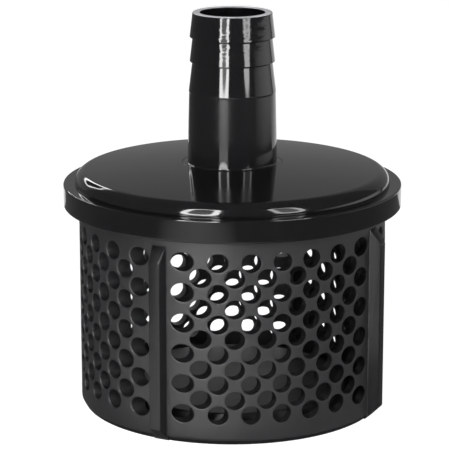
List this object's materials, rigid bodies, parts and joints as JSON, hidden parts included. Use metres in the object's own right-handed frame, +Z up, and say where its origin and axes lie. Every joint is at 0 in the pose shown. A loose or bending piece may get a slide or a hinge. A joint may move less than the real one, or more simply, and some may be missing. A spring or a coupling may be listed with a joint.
{
  "type": "foot valve",
  "caption": "Suction foot valve: perforated strainer basket under a domed cap with a barbed hose tail, and a spring-loaded lift check valve inside.",
  "frame": {"origin": "centre of the ring that the strainer basket stands on, on the valve's axis", "axes": "+Z up along the valve's axis towards the hose tail; +X and +Y point at the middle of two of the four perforated sides, so the ribs stand at 45 degrees between them"},
  "size_m": [0.1122, 0.1122, 0.1315],
  "materials": {
    "basket_plastic": "satin black moulded polypropylene with a fine grain",
    "cap_plastic": "gloss black moulded plastic",
    "tail_plastic": "gloss black moulded plastic with faint turning marks on the shank",
    "cage_plastic": "satin black moulded plastic",
    "acetal": "natural off-white, slightly waxy",
    "seal_rubber": "matt black nitrile rubber",
    "spring_steel": "drawn stainless wire",
    "stainless_steel": "bright stainless steel"
  },
  "bodies": {
    "valve_body": {"strainer_basket": "basket_plastic", "outlet_cap": "cap_plastic", "hose_tail": "tail_plastic", "tail_gasket": "seal_rubber", "valve_cage": "cage_plastic", "cage_gasket": "seal_rubber", "stem_guide": "cage_plastic", "stem_bush": "acetal", "return_spring": "spring_steel", "cage_screw_1": "stainless_steel", "cage_screw_2": "stainless_steel", "cage_screw_3": "stainless_steel", "cage_screw_4": "stainless_steel", "cage_screw_5": "stainless_steel", "cage_screw_6": "stainless_steel"},
    "poppet": {"poppet_disc": "acetal", "poppet_seal": "seal_rubber", "seal_washer": "stainless_steel", "stem_bolt": "stainless_steel", "stem_nut": "stainless_steel"}
  },
  "joints": [
    {"name": "poppet_lift", "type": "slide", "parent": "valve_body", "child": "poppet", "axis": [0, 0, 1], "range_m": [0, 0.0042], "stiffness_N_per_m": 120, "springref_m": -0.004, "deforming": ["return_spring"]}
  ]
}
